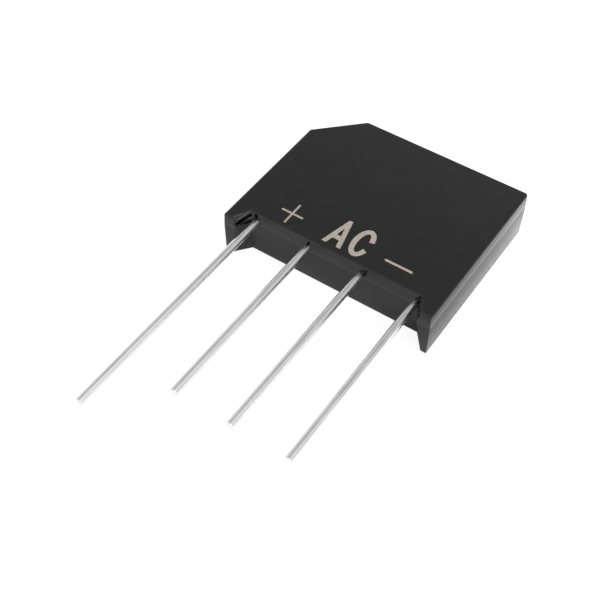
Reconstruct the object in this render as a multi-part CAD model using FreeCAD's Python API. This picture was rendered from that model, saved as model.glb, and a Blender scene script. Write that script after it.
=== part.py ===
import FreeCAD, Part
import math
import os

# Four-lead in-line bridge rectifier, lying on its back face with its leads along -Y.
# Origin: middle of the back face's height and width. X across the row of leads, Z out of the marking face.
# Millimetres.

# Moulded body
body_width = 19.64
body_height = 16.4
body_thickness = 4.62
corner_cut = 3.75
parting_height = 3.26
draft_upper = 0.04
draft_lower = 0.04

# Ribs at the two ends of the lead side. They are widest at the parting line.
rib_length = 1.45
rib_tip_lower = 0.52
rib_tip_parting = 1.17
rib_tip_upper = 0.87
rib_root_lower = 1.71
rib_root_parting = 1.97
rib_root_upper = 1.67

# Rounded edges of the body
corner_radius = 0.27
outer_edge_radius = 0.26
inner_edge_radius = 0.12
back_edge_radius = 0.22

# Sloping groove along each rib's inner flank, above the parting line. It stops short of the rib's tip.
groove_height = 0.28
groove_depth = 0.16
groove_drop_tip = 0.77
groove_drop_root = 0.29
groove_end_wall = 0.14

# Shallow notch above the groove. It leaves a fine bevelled lip between them.
notch_end_wall = 0.45
notch_height = 0.2
notch_depth = 0.1
lip_height = 0.04

# Leads
lead_pitch = 5.08
lead_diameter = 0.7
lead_height = 3.49
lead_length = 15.9
lead_length_plus = 20.45
lead_end_radius = 0.06

# Pocket above each lead in the channel's face. Its ends are measured from the lead's axis: left and right
# at the lead's height, then left and right at its top. It is deepest at the lead's height and runs out at its top.
relief_ends = [
    (-0.14, 0.1, -0.14, 0.25),
    (-0.25, -0.02, 0.22, 0.44),
    (-0.25, 0.4, 0.5, 0.75),
    (-0.25, 0.34, 0.36, 0.5),
]
relief_depths = [0.45, 0.45, 0.65, 0.65]
relief_roof = 0.05
relief_lead_in = 0.05

# Coined paddles inside the body. Each lead is squeezed flat from where it enters the body.
paddle_thickness = 0.4
coin_length = 0.8
paddle_flare = 0.6
paddle_margin = 0.4
end_paddle_width = 1.9

# Diode chips, solder and straps
chip_size = 2.4
chip_thickness = 0.28
chip_row_front = -2.0
chip_row_back = 3.2
solder_thickness = 0.06
solder_margin = 0.1
strap_thickness = 0.3
strap_width = 1.9
strap_pad_length = 1.5
strap_joggle_gap = 0.25

# Places that follow from the sizes above
half_width = body_width / 2
front = -body_height / 2
back = body_height / 2
channel = front + rib_length
lead_radius = lead_diameter / 2
coin_end = channel + coin_length
neck_width = math.pi * lead_radius ** 2 / paddle_thickness
paddle_bottom = lead_height - paddle_thickness / 2
chip_top = paddle_bottom - solder_thickness
chip_bottom = chip_top - chip_thickness
strap_top = chip_bottom - solder_thickness


def vec(x, y, z):
    return FreeCAD.Vector(x, y, z)


def flat_face(points):
    return Part.Face(Part.makePolygon(points + points[:1]))


def prism(points, travel):
    return flat_face(points).extrude(travel)


def block(x, y, z_low, size_x, size_y, size_z):
    """A block centred on x and y that stands on z_low."""
    return Part.makeBox(size_x, size_y, size_z, vec(x - size_x / 2, y - size_y / 2, z_low))


def mirrored(shape):
    return shape.mirror(vec(0, 0, 0), vec(1, 0, 0))


def lead_x(place):
    """Place 0 to 3, from the plus lead to the minus lead."""
    return (place - 1.5) * lead_pitch


def outline(z, inset, rib_tip, rib_root):
    """The body's section at height z: two ribs, the channel between them, and the cut corner."""
    side = half_width - inset
    cut = corner_cut + inset * math.tan(math.radians(22.5))
    return [
        vec(-side, front + inset, z),
        vec(-half_width + rib_tip, front + inset, z),
        vec(-half_width + rib_root, channel + inset, z),
        vec(half_width - rib_root, channel + inset, z),
        vec(half_width - rib_tip, front + inset, z),
        vec(side, front + inset, z),
        vec(side, back - inset, z),
        vec(-half_width + cut, back - inset, z),
        vec(-side, back - cut, z),
    ]


def rounded_section(corners):
    """The outline's edges in turn, with the corners at the back of the body rounded."""
    edges = []
    start = corners[0]
    for i in range(1, len(corners) + 1):
        corner = corners[i % len(corners)]
        if corner.y < 0:
            edges.append(Part.makeLine(start, corner))
            start = corner
            continue
        before = (corners[i - 1] - corner).normalize()
        after = (corners[(i + 1) % len(corners)] - corner).normalize()
        inward = (before + after).normalize()
        half_angle = before.getAngle(after) / 2
        reach = corner_radius / math.tan(half_angle)
        middle = corner + inward * (corner_radius / math.sin(half_angle) - corner_radius)
        edges.append(Part.makeLine(start, corner + before * reach))
        edges.append(Part.Arc(corner + before * reach, middle, corner + after * reach).toShape())
        start = corner + after * reach
    return edges


def walls(low, high):
    """The walls between two sections. They are flat but for the rounded corners and the ribs' inner flanks."""
    flanks = (1, 3)
    faces = []
    for i, (under, over) in enumerate(zip(low, high)):
        straight = isinstance(under.Curve, Part.Line)
        if straight and i not in flanks:
            ends = [under.Vertexes[0], under.Vertexes[1], over.Vertexes[1], over.Vertexes[0]]
            faces.append(flat_face([end.Point for end in ends]))
        else:
            faces.append(Part.makeRuledSurface(under, over))
    return faces


def mould_halves(low, middle, high):
    """The solid between three sections, which has its parting line at the middle one."""
    floor = Part.Face(Part.Wire([edge.reversed() for edge in reversed(low)]))
    roof = Part.Face(Part.Wire(high))
    shell = Part.makeShell([floor] + walls(low, middle) + walls(middle, high) + [roof])
    shell.sewShape()
    return Part.makeSolid(shell)


def round_edges(body):
    """Rounds the marking face's outer edges, its edges along the channel and the ribs' flanks, then the back's."""
    def face_edges(shape, inner):
        edges = [edge for edge in shape.Edges if edge.BoundBox.ZMin > body_thickness - 0.001]
        return [edge for edge in edges if inner == (front + rib_length / 3 < edge.CenterOfMass.y < channel + 1)]

    body = body.makeFillet(outer_edge_radius, face_edges(body, False))
    body = body.makeFillet(inner_edge_radius, face_edges(body, True))
    back_edges = [edge for edge in body.Edges if edge.BoundBox.ZMax < 0.001]
    return body.makeFillet(back_edge_radius, back_edges)


def lead_relief(place):
    """The wedge cut out above a lead where it leaves the channel's face, under the marking face's edge."""
    foot_left, foot_right, top_left, top_right = relief_ends[place]
    x = lead_x(place)
    top = body_thickness - relief_roof
    outside = channel - relief_lead_in
    front_side = [
        vec(x + foot_left, outside, lead_height),
        vec(x + foot_right, outside, lead_height),
        vec(x + top_right, outside, top),
        vec(x + top_left, outside, top),
    ]
    deep = channel + relief_depths[place]
    back_side = [vec(point.x, deep if point.z == lead_height else channel, point.z) for point in front_side]
    faces = [flat_face(front_side[::-1]), flat_face(back_side)]
    for i in range(4):
        j = (i + 1) % 4
        faces.append(flat_face([front_side[i], front_side[j], back_side[j], back_side[i]]))
    shell = Part.makeShell(faces)
    shell.sewShape()
    return Part.makeSolid(shell)


def rib_groove():
    """The groove in the left rib's inner flank, and the notch above it. They climb from the rib's tip to its root."""
    tip = vec(-half_width + rib_tip_upper, front, body_thickness - groove_drop_tip)
    root = vec(-half_width + rib_root_upper, channel, body_thickness - groove_drop_root)
    along = (root - tip).normalize()
    out = along.cross(vec(0, 0, 1)).normalize()
    down = out.cross(along).normalize()
    if down.z > 0:
        down = down * -1
    length = (root - tip).Length
    start = tip + along * groove_end_wall
    groove = [
        start + out * groove_height,
        start - out * groove_depth,
        start - out * groove_depth + down * groove_height,
        start + out * groove_height + down * groove_height,
    ]
    lip = tip + along * notch_end_wall - down * lip_height
    notch = [
        lip,
        lip - out * notch_depth - down * notch_depth,
        lip - down * notch_height,
        lip + out * notch_depth - down * notch_height,
        lip + out * notch_depth,
    ]
    return [
        prism(groove, along * (length - groove_end_wall)),
        prism(notch, along * (length - notch_end_wall)),
    ]


def moulded_body(inner_pieces):
    low = rounded_section(outline(0, draft_lower, rib_tip_lower, rib_root_lower))
    middle = rounded_section(outline(parting_height, 0, rib_tip_parting, rib_root_parting))
    high = rounded_section(outline(body_thickness, draft_upper, rib_tip_upper, rib_root_upper))
    body = round_edges(mould_halves(low, middle, high))
    grooves = rib_groove()
    grooves += [mirrored(groove) for groove in grooves]
    body = body.cut(grooves + [lead_relief(place) for place in range(4)])
    return body.cut(inner_pieces)


def round_section(x, y):
    """The wire's round section as four arcs that meet on the diagonals."""
    arcs = []
    for quarter in range(4):
        points = []
        for step in range(3):
            turn = math.radians(45 + 90 * quarter + 45 * step)
            points.append(vec(x + lead_radius * math.cos(turn), y, lead_height + lead_radius * math.sin(turn)))
        arcs.append(Part.Arc(*points).toShape())
    return Part.Wire(arcs)


def flat_section(x, y):
    """The paddle's section where the squeezed wire ends. It has as much metal in it as the round wire."""
    wide = neck_width / 2
    half = paddle_thickness / 2
    corners = [(wide, half), (-wide, half), (-wide, -half), (wide, -half)]
    points = [vec(x + across, y, lead_height + up) for across, up in corners]
    return Part.makePolygon(points + points[:1])


def lead(place, length, paddle_width, paddle_end):
    """A round wire that is squeezed down to a flat paddle inside the body."""
    x = lead_x(place)
    tip = front - length
    wire = Part.makeCylinder(lead_radius, channel - tip, vec(x, tip, lead_height), vec(0, 1, 0))
    end_edge = [edge for edge in wire.Edges if edge.BoundBox.YMax < tip + 0.001]
    wire = wire.makeFillet(lead_end_radius, end_edge)
    neck = Part.makeLoft([round_section(x, channel), flat_section(x, coin_end)], True, True)
    flare_end = coin_end + paddle_flare
    paddle = prism([
        vec(x - neck_width / 2, coin_end, paddle_bottom),
        vec(x - paddle_width / 2, flare_end, paddle_bottom),
        vec(x - paddle_width / 2, paddle_end, paddle_bottom),
        vec(x + paddle_width / 2, paddle_end, paddle_bottom),
        vec(x + paddle_width / 2, flare_end, paddle_bottom),
        vec(x + neck_width / 2, coin_end, paddle_bottom),
    ], vec(0, 0, paddle_thickness))
    return wire.fuse([neck, paddle]).removeSplitter()


def chip(place, row):
    return block(lead_x(place), row, chip_bottom, chip_size, chip_size, chip_thickness)


def solder(x, row, z_low, size_x, size_y):
    return block(x, row, z_low, size_x, size_y, solder_thickness)


def strap(row):
    """A copper strip from the plus lead's paddle, joggled down to pass under the chips of both AC leads."""
    pad_start = lead_x(0) - strap_pad_length / 2
    step_start = lead_x(0) + end_paddle_width / 2 + strap_joggle_gap
    step = chip_top - strap_top
    end = lead_x(2) + chip_size / 2
    y = row - strap_width / 2
    side = [
        vec(pad_start, y, chip_top),
        vec(step_start, y, chip_top),
        vec(step_start + step, y, strap_top),
        vec(end, y, strap_top),
        vec(end, y, strap_top - strap_thickness),
        vec(step_start + step - strap_thickness * math.tan(math.radians(22.5)), y, strap_top - strap_thickness),
        vec(step_start - strap_thickness * math.tan(math.radians(22.5)), y, chip_top - strap_thickness),
        vec(pad_start, y, chip_top - strap_thickness),
    ]
    return prism(side, vec(0, strap_width, 0))


def build():
    parts = {}
    ac_width = chip_size + 2 * paddle_margin
    front_end = chip_row_front + chip_size / 2 + paddle_margin
    back_end = chip_row_back + chip_size / 2 + paddle_margin
    parts["lead_plus"] = lead(0, lead_length_plus, end_paddle_width, front_end)
    parts["lead_ac_1"] = lead(1, lead_length, ac_width, back_end)
    parts["lead_ac_2"] = lead(2, lead_length, ac_width, back_end)
    parts["lead_minus"] = lead(3, lead_length, end_paddle_width, back_end)

    seats = [(1, chip_row_front), (2, chip_row_front), (1, chip_row_back), (2, chip_row_back)]
    joint_size = chip_size - 2 * solder_margin
    for number, (place, row) in enumerate(seats, 1):
        x = lead_x(place)
        parts["diode_chip_%d" % number] = chip(place, row)
        parts["solder_chip_%d_lead" % number] = solder(x, row, chip_top, joint_size, joint_size)
        parts["solder_chip_%d_strap" % number] = solder(x, row, strap_top, joint_size, strap_width)

    pad_size = strap_pad_length - 2 * solder_margin
    parts["strap_plus"] = strap(chip_row_front)
    parts["strap_minus"] = mirrored(strap(chip_row_back))
    parts["solder_strap_plus"] = solder(lead_x(0), chip_row_front, chip_top, pad_size, strap_width)
    parts["solder_strap_minus"] = solder(lead_x(3), chip_row_back, chip_top, pad_size, strap_width)

    parts["body"] = moulded_body(list(parts.values()))
    return parts


os.makedirs("parts", exist_ok=True)
for name, shape in build().items():
    shape.exportStep("parts/%s.step" % name)
    print(name, shape.isValid(), len(shape.Solids), round(shape.Volume, 4))
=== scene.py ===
import math

import bmesh
import bpy
import numpy as np
from mathutils import Matrix, Vector


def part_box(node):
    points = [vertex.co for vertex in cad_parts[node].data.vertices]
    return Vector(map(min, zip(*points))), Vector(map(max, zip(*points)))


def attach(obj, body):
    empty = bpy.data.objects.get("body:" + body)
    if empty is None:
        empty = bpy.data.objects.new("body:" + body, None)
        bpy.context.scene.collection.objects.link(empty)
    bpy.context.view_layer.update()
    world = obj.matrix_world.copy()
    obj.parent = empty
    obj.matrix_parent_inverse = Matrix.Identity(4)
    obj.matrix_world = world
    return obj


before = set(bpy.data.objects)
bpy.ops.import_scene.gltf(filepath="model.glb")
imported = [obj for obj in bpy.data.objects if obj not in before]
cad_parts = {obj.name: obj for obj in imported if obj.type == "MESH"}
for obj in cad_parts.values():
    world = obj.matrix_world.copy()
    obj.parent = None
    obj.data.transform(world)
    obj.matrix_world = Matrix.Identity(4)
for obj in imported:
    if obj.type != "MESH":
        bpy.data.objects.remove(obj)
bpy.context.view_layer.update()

MM = 0.001

# The camera: the angles that it looks from, in degrees, its distance from the point that it is aimed at,
# that point, its lens and the width of its film, in millimetres
CAMERA_AZIMUTH = 33.8034
CAMERA_ELEVATION = 50.0614
CAMERA_ROLL = 0.6801
CAMERA_DISTANCE = 89.759
CAMERA_AIM = (-1.632, -9.0275, -0.201)
CAMERA_LENS = 65.369
CAMERA_FILM = 36

# The skin of the moulding, in millimetres. Each half is fullest at one height. From there it falls off with
# the square of the distance, by this much at one millimetre.
PARTING_HEIGHT = 3.26
BODY_TOP = 4.62
LOWER_FULLEST = 1.30
LOWER_FALL = 0.056
UPPER_FULLEST = 3.45
UPPER_FALL = 0.16

# The print on the marking face, in millimetres of the part's own frame
INK_THICKNESS = 0.012
PLUS_CENTRE = (-5.105, -5.097)
PLUS_HALF_SPAN = (1.04, 1.18)
PLUS_STROKE = (0.17, 0.19)
MINUS_CENTRE = (5.05, -5.104)
MINUS_HALF_SPAN = 1.28
MINUS_STROKE = 0.225
LETTER_FOOT_Y = -6.185
LETTER_TOP_Y = -3.08

# The white table: its half width in metres, and how far the painted shade around the part reaches in the
# table's mirrored glow, in millimetres
TABLE_HALF_WIDTH = 1.5
SHADE_REACH = 10

# The lights of the room. Each has the direction of its middle, its least and its full brightness, and the
# cosines of the angles from its middle at which it begins and at which it is full.
ROOM_LIGHTS = {
    "right_wall": ((1, 0.2, -0.1), 0.42, 0.68, 0.2, 1.0),
    "left_wall": ((-1, 0.1, -0.1), 0.0, 0.4, 0.4, 0.85),
    "back_wall": ((-0.1, 1, 0.1), 0.0, 0.5, 0.70, 1.0),
    "front_light": ((0.4, -0.5, 0.77), 0.0, 0.46, 0.45, 0.56),
    "small_lamp_for_edges": ((0.72, -0.1, 0.68), 0.0, 5.0, 0.990, 0.995),
    "small_lamp_for_rib": ((0.54, -0.27, 0.80), 0.0, 8.0, 0.987, 0.995),
}

# A low lamp behind the part, on its right, in metres and watts
LOW_LAMP_PLACE = (0.022, 0.033, 0.013)
LOW_LAMP_AIM = (0.012, 0.004, 0)
LOW_LAMP_SIZE = 0.018
LOW_LAMP_POWER = 0.024


def new_material(name):
    """An empty node material, its node tree and its output node."""
    material = bpy.data.materials.new(name)
    material.use_nodes = True
    material.node_tree.nodes.clear()
    output = material.node_tree.nodes.new("ShaderNodeOutputMaterial")
    return material, material.node_tree, output


def node(tree, kind, **settings):
    """Adds a node. Settings named as a socket go to that socket, and the rest go to the node itself."""
    made = tree.nodes.new(kind)
    for name, value in settings.items():
        socket = made.inputs.get(name.replace("_", " "))
        if socket is None:
            setattr(made, name, value)
        else:
            socket.default_value = value
    return made


def combined(tree, operation, *values):
    """Folds values into one by an operation such as MULTIPLY. Each value is a socket or a plain number."""
    total = values[0]
    for value in values[1:]:
        step = node(tree, "ShaderNodeMath", operation=operation)
        for socket, term in zip(step.inputs, (total, value)):
            if isinstance(term, bpy.types.NodeSocket):
                tree.links.new(term, socket)
            else:
                socket.default_value = term
        total = step.outputs[0]
    return total


def object_pattern(tree, grain, stretch=(1, 1, 1), detail=3.0, roughness=0.55):
    """Noise on Object coordinates, its grain in metres. A stretch below 1 draws it out along that axis."""
    place = node(tree, "ShaderNodeTexCoord")
    mapping = node(tree, "ShaderNodeMapping", Scale=stretch)
    noise = node(tree, "ShaderNodeTexNoise", Scale=1 / grain, Detail=detail, Roughness=roughness)
    tree.links.new(place.outputs["Object"], mapping.inputs["Vector"])
    tree.links.new(mapping.outputs["Vector"], noise.inputs["Vector"])
    return noise.outputs["Fac"]


def ranged(tree, value, low, high, from_low=0.3, from_high=0.7):
    """Maps a value from one range to another, and holds it at the ends."""
    ramp = node(
        tree, "ShaderNodeMapRange",
        From_Min=from_low, From_Max=from_high, To_Min=low, To_Max=high,
    )
    tree.links.new(value, ramp.inputs["Value"])
    return ramp.outputs["Result"]


def blended(tree, factor, first, second):
    """Mixes two colours by a factor."""
    mix = node(tree, "ShaderNodeMix", data_type="RGBA")
    mix.inputs["A"].default_value = (*first, 1)
    mix.inputs["B"].default_value = (*second, 1)
    tree.links.new(factor, mix.inputs["Factor"])
    return mix.outputs["Result"]


def bumped(tree, height, distance, under=None):
    """A bump of a height map, whose full swing stands the distance, in metres, off the surface."""
    bump = node(tree, "ShaderNodeBump", Strength=1.0, Distance=distance)
    tree.links.new(height, bump.inputs["Height"])
    if under is not None:
        tree.links.new(under, bump.inputs["Normal"])
    return bump.outputs["Normal"]


def surface(tree, output, colour, roughness, normal, **settings):
    """A Principled surface. Colour, roughness and normal are sockets, and plain values come as settings."""
    shader = node(tree, "ShaderNodeBsdfPrincipled", **settings)
    tree.links.new(colour, shader.inputs["Base Color"])
    tree.links.new(roughness, shader.inputs["Roughness"])
    tree.links.new(normal, shader.inputs["Normal"])
    tree.links.new(shader.outputs["BSDF"], output.inputs["Surface"])


def fallen_off(tree, low, high, fullest, fall):
    """Height of the skin between two heights: minus the fall times the squared distance from the fullest."""
    place = node(tree, "ShaderNodeTexCoord")
    split = node(tree, "ShaderNodeSeparateXYZ")
    tree.links.new(place.outputs["Object"], split.inputs["Vector"])
    away = ranged(tree, split.outputs["Z"], low - fullest, high - fullest, low * MM, high * MM)
    return combined(tree, "MULTIPLY", away, away, -fall)


def black_epoxy():
    """Satin black moulding compound: fine grain, faint flow marks, uneven gloss and a slightly full skin."""
    material, tree, output = new_material("black_epoxy")
    lower = fallen_off(tree, 0, PARTING_HEIGHT, LOWER_FULLEST, LOWER_FALL)
    upper = fallen_off(tree, PARTING_HEIGHT, BODY_TOP, UPPER_FULLEST, UPPER_FALL)
    skin = combined(tree, "ADD", lower, upper)
    flow = object_pattern(tree, 2.2e-3, detail=2.0)
    grain = object_pattern(tree, 6e-5, detail=2.0)
    colour = blended(tree, ranged(tree, flow, 0, 1), (0.0030, 0.0030, 0.0032), (0.0048, 0.0047, 0.0049))
    gloss = ranged(tree, object_pattern(tree, 4e-4), 0.20, 0.27)
    normal = bumped(tree, skin, MM)
    normal = bumped(tree, flow, 6e-6, under=normal)
    normal = bumped(tree, grain, 1.5e-6, under=normal)
    surface(tree, output, colour, gloss, normal, IOR=1.52)
    return material


def tinned_wire():
    """Bright tin on drawn copper wire: faint lines along the wire and slightly cloudy tin."""
    material, tree, output = new_material("tinned_wire")
    lines = object_pattern(tree, 9e-5, stretch=(1, 0.03, 1))
    cloud = object_pattern(tree, 7e-4, stretch=(1, 0.4, 1))
    colour = blended(tree, ranged(tree, cloud, 0, 1), (0.808, 0.811, 0.808), (0.876, 0.880, 0.878))
    gloss = ranged(tree, cloud, 0.20, 0.30)
    surface(tree, output, colour, gloss, bumped(tree, lines, 1.2e-6), Metallic=1.0)
    return material


def glassed_silicon():
    """A dark silicon chip with a faint violet glass coat and a sawn edge."""
    material, tree, output = new_material("glassed_silicon")
    cloud = object_pattern(tree, 3e-4)
    colour = blended(tree, ranged(tree, cloud, 0, 1), (0.035, 0.035, 0.05), (0.07, 0.06, 0.10))
    gloss = ranged(tree, cloud, 0.12, 0.25)
    surface(tree, output, colour, gloss, bumped(tree, object_pattern(tree, 3e-5), 5e-7), IOR=1.6)
    return material


def rolled_copper():
    """Bare rolled copper strip: fine rolling lines across the part and patches of light tarnish."""
    material, tree, output = new_material("rolled_copper")
    lines = object_pattern(tree, 8e-5, stretch=(0.04, 1, 1))
    tarnish = object_pattern(tree, 9e-4)
    colour = blended(tree, ranged(tree, tarnish, 0, 1), (0.72, 0.34, 0.20), (0.86, 0.47, 0.30))
    gloss = ranged(tree, tarnish, 0.25, 0.38)
    surface(tree, output, colour, gloss, bumped(tree, lines, 2e-6), Metallic=1.0)
    return material


def dull_solder():
    """Solder that set with a frosty, slightly wrinkled skin."""
    material, tree, output = new_material("dull_solder")
    wrinkle = object_pattern(tree, 1.5e-4)
    colour = blended(tree, ranged(tree, wrinkle, 0, 1), (0.48, 0.48, 0.47), (0.62, 0.62, 0.61))
    gloss = ranged(tree, wrinkle, 0.38, 0.55)
    surface(tree, output, colour, gloss, bumped(tree, wrinkle, 6e-6), Metallic=1.0)
    return material


def beige_ink():
    """Pad-printed warm beige ink, thin in places, so that its colour is mottled."""
    material, tree, output = new_material("beige_ink")
    thin = object_pattern(tree, 2.2e-4, detail=4.0)
    cover = ranged(tree, thin, 0, 1, 0.3, 0.6)
    colour = blended(tree, cover, (0.27, 0.235, 0.193), (0.405, 0.355, 0.297))
    gloss = ranged(tree, thin, 0.62, 0.5)
    surface(tree, output, colour, gloss, bumped(tree, thin, 2e-6), IOR=1.45)
    return material


def dress_nodes():
    """Gives every node of the model its finish, by the first word of its name."""
    finishes = {
        "body": black_epoxy(),
        "lead": tinned_wire(),
        "diode": glassed_silicon(),
        "strap": rolled_copper(),
        "solder": dull_solder(),
    }
    for name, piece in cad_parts.items():
        finish = finishes[name.split("_")[0]]
        for slot in piece.material_slots:
            slot.material = finish


def plus_outline():
    """A cross: the twelve corners of an upright stroke and a level stroke that share a centre."""
    span_x, span_y = PLUS_HALF_SPAN
    wide, thick = PLUS_STROKE[0] / 2, PLUS_STROKE[1] / 2
    quarter = np.array([(wide, -span_y), (wide, -thick), (span_x, -thick)])
    turned = [quarter, quarter[::-1] * (1, -1), quarter * (-1, -1), quarter[::-1] * (-1, 1)]
    return [np.array(PLUS_CENTRE) + np.concatenate(turned)]


def minus_outline():
    """A level stroke whose ends are rounded: half circles of the stroke's width at both ends."""
    radius = MINUS_STROKE / 2
    turn = np.linspace(-math.pi / 2, math.pi / 2, 9)
    end = np.stack([MINUS_HALF_SPAN - radius + radius * np.cos(turn), radius * np.sin(turn)], axis=1)
    return [np.array(MINUS_CENTRE) + np.concatenate([end, -end])]


def letter_a_outlines():
    """The letter A: its outer outline with a flat narrow top, and the triangle above its crossbar."""
    outer = np.array([
        (-1.55, LETTER_FOOT_Y),
        (-1.13, LETTER_FOOT_Y),
        (-0.94, -5.469),
        (-0.335, -5.469),
        (-0.17, LETTER_FOOT_Y),
        (0.25, LETTER_FOOT_Y),
        (-0.465, LETTER_TOP_Y - 0.03),
        (-0.535, LETTER_TOP_Y),
        (-0.735, LETTER_TOP_Y),
        (-0.805, LETTER_TOP_Y - 0.05),
    ])
    inner = np.array([(-0.82, -4.982), (-0.67, -4.03), (-0.435, -4.982)])
    return [outer, inner]


def letter_c_outlines():
    """The letter C: an outer and an inner ellipse about one centre, open to the right between two cuts."""
    centre = np.array((1.39, -4.625))
    outer = (0.875, 1.61)
    inner = (0.41, 1.14)
    upper_cut, lower_cut = math.radians(17), math.radians(-26)
    turn = np.linspace(upper_cut, 2 * math.pi + lower_cut, 41)
    around = np.stack([np.cos(turn), np.sin(turn)], axis=1)
    return [centre + np.concatenate([around * outer, (around * inner)[::-1]])]


def filled(name, outlines):
    """A flat mesh of ink inside outlines in millimetres, with a hole where one outline lies in another."""
    curve = bpy.data.curves.new(name, "CURVE")
    curve.dimensions = "2D"
    curve.fill_mode = "BOTH"
    curve.extrude = INK_THICKNESS * MM / 2
    for outline in outlines:
        spline = curve.splines.new("POLY")
        spline.points.add(len(outline) - 1)
        flat = np.zeros((len(outline), 4))
        flat[:, :2] = outline * MM
        flat[:, 3] = 1
        spline.points.foreach_set("co", flat.ravel())
        spline.use_cyclic_u = True
    drawn = bpy.data.objects.new(name + "_drawn", curve)
    mesh = bpy.data.meshes.new_from_object(drawn)
    bpy.data.objects.remove(drawn)
    return mesh


def seal(mesh):
    """Joins a mesh's coinciding corners and turns its faces outwards."""
    shell = bmesh.new()
    shell.from_mesh(mesh)
    bmesh.ops.remove_doubles(shell, verts=shell.verts, dist=1e-7)
    bmesh.ops.recalc_face_normals(shell, faces=shell.faces)
    shell.to_mesh(mesh)
    shell.free()


def printed(name, outlines, material):
    """A flat sign of ink that lies on the marking face."""
    mesh = filled(name, outlines)
    seal(mesh)
    marking_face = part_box("body")[1].z
    mesh.transform(Matrix.Translation((0, 0, marking_face + INK_THICKNESS * MM / 2)))
    mesh.materials.append(material)
    piece = bpy.data.objects.new(name, mesh)
    bpy.context.scene.collection.objects.link(piece)
    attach(piece, "root")


def print_signs():
    """The four signs on the marking face."""
    ink = beige_ink()
    signs = {
        "sign_plus": plus_outline(),
        "sign_letter_a": letter_a_outlines(),
        "sign_letter_c": letter_c_outlines(),
        "sign_minus": minus_outline(),
    }
    for name, outlines in signs.items():
        printed(name, outlines, ink)


def together(tree, first, second):
    """Adds two shaders."""
    both = node(tree, "ShaderNodeAddShader")
    tree.links.new(first.outputs[0], both.inputs[0])
    tree.links.new(second.outputs[0], both.inputs[1])
    return both


def shown(tree, output, to_camera, to_others):
    """Sends one shader to the camera's rays and the other one to all other rays."""
    path = node(tree, "ShaderNodeLightPath")
    mix = node(tree, "ShaderNodeMixShader")
    tree.links.new(path.outputs["Is Camera Ray"], mix.inputs[0])
    tree.links.new(to_others.outputs[0], mix.inputs[1])
    tree.links.new(to_camera.outputs[0], mix.inputs[2])
    tree.links.new(mix.outputs[0], output.inputs["Surface"])


def white_paint():
    """White for the table. The camera sees it white, with a soft share of the part's shadow. What the part
    mirrors of it is matt, with a glow that only mirror rays see, and painted shade dims that glow where the
    part stands close over it.
    """
    material, tree, output = new_material("white_paint")
    glossy = node(tree, "ShaderNodeLightPath").outputs["Is Glossy Ray"]
    # Painted shade: ambient occlusion, taken twice, dims the glow that mirror rays see where the part stands
    # close over the table
    painted_contact_shade = node(tree, "ShaderNodeAmbientOcclusion", samples=8, Distance=SHADE_REACH * MM).outputs["AO"]
    matt = node(tree, "ShaderNodeBsdfDiffuse", Color=(0.8, 0.8, 0.8, 1))
    mirrored_glow = node(tree, "ShaderNodeEmission", Color=(0.32, 0.32, 0.32, 1))
    tree.links.new(combined(tree, "MULTIPLY", glossy, painted_contact_shade, painted_contact_shade), mirrored_glow.inputs["Strength"])
    shade = node(tree, "ShaderNodeBsdfDiffuse", Color=(0.2, 0.2, 0.2, 1))
    glow = node(tree, "ShaderNodeEmission", Color=(1, 1, 1, 1), Strength=0.88)
    shown(tree, output, together(tree, shade, glow), together(tree, matt, mirrored_glow))
    return material


def white_table():
    """A wide white table under the part."""
    half = TABLE_HALF_WIDTH
    corners = [(-half, -half, 0), (half, -half, 0), (half, half, 0), (-half, half, 0)]
    mesh = bpy.data.meshes.new("table")
    mesh.from_pydata(corners, [], [(0, 1, 2, 3)])
    mesh.materials.append(white_paint())
    table = bpy.data.objects.new("table", mesh)
    bpy.context.scene.collection.objects.link(table)


def facing(tree, direction, toward, low, high, from_low, from_high):
    """A brightness that rises as a direction turns toward a point of the room."""
    turn = node(tree, "ShaderNodeVectorMath", operation="DOT_PRODUCT")
    turn.inputs[1].default_value = Vector(toward).normalized()
    tree.links.new(direction, turn.inputs[0])
    rise = node(
        tree, "ShaderNodeMapRange", interpolation_type="SMOOTHSTEP",
        From_Min=from_low, From_Max=from_high, To_Min=low, To_Max=high,
    )
    tree.links.new(turn.outputs["Value"], rise.inputs["Value"])
    return rise.outputs["Result"]


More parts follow.
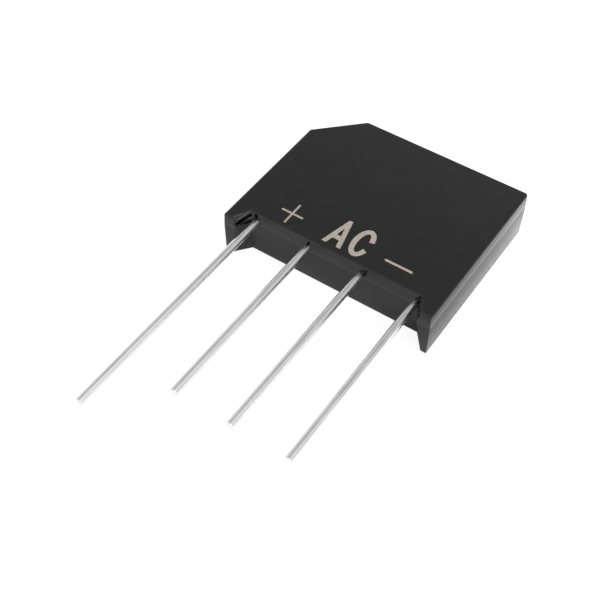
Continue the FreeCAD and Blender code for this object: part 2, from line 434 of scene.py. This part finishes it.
def studio_room():
    """A pale room with a dim ceiling, which the camera sees as plain white."""
    world = bpy.data.worlds.new("studio")
    bpy.context.scene.world = world
    world.use_nodes = True
    tree = world.node_tree
    tree.nodes.clear()
    output = node(tree, "ShaderNodeOutputWorld")
    direction = node(tree, "ShaderNodeTexCoord").outputs["Generated"]
    lights = [facing(tree, direction, *light) for light in ROOM_LIGHTS.values()]
    room = node(tree, "ShaderNodeBackground", Color=(1, 1, 1, 1))
    tree.links.new(combined(tree, "ADD", *lights), room.inputs["Strength"])
    white = node(tree, "ShaderNodeBackground", Color=(1, 1, 1, 1), Strength=1.0)
    shown(tree, output, white, room)


def low_lamp():
    """A soft square lamp. It lights the table and the part, but it is neither seen nor mirrored."""
    lamp = bpy.data.lights.new("low_lamp", "AREA")
    lamp.size = LOW_LAMP_SIZE
    lamp.energy = LOW_LAMP_POWER
    holder = bpy.data.objects.new("low_lamp", lamp)
    holder.location = LOW_LAMP_PLACE
    holder.visible_camera = False
    holder.visible_glossy = False
    beam = Vector(LOW_LAMP_AIM) - Vector(LOW_LAMP_PLACE)
    holder.rotation_euler = beam.to_track_quat("-Z", "Y").to_euler()
    bpy.context.scene.collection.objects.link(holder)


def photo_camera():
    """The camera: right, up and back are its axes, turned by its azimuth, elevation and roll."""
    azimuth, elevation, roll = (math.radians(a) for a in (CAMERA_AZIMUTH, CAMERA_ELEVATION, CAMERA_ROLL))
    back = Vector((
        math.sin(azimuth) * math.cos(elevation),
        -math.cos(azimuth) * math.cos(elevation),
        math.sin(elevation),
    ))
    level = Vector((math.cos(azimuth), math.sin(azimuth), 0))
    raised = back.cross(level)
    right = level * math.cos(roll) + raised * math.sin(roll)
    up = raised * math.cos(roll) - level * math.sin(roll)
    camera = bpy.data.cameras.new("camera")
    camera.sensor_width = CAMERA_FILM
    camera.lens = CAMERA_LENS
    camera.clip_start = 0.002
    camera.clip_end = 20
    holder = bpy.data.objects.new("camera", camera)
    holder.matrix_world = Matrix.LocRotScale(
        (Vector(CAMERA_AIM) + back * CAMERA_DISTANCE) * MM,
        Matrix((right, up, back)).transposed().to_quaternion(),
        None,
    )
    bpy.context.scene.collection.objects.link(holder)
    bpy.context.scene.camera = holder


dress_nodes()
print_signs()
white_table()
studio_room()
low_lamp()
photo_camera()
bpy.context.scene.view_settings.view_transform = "Standard"
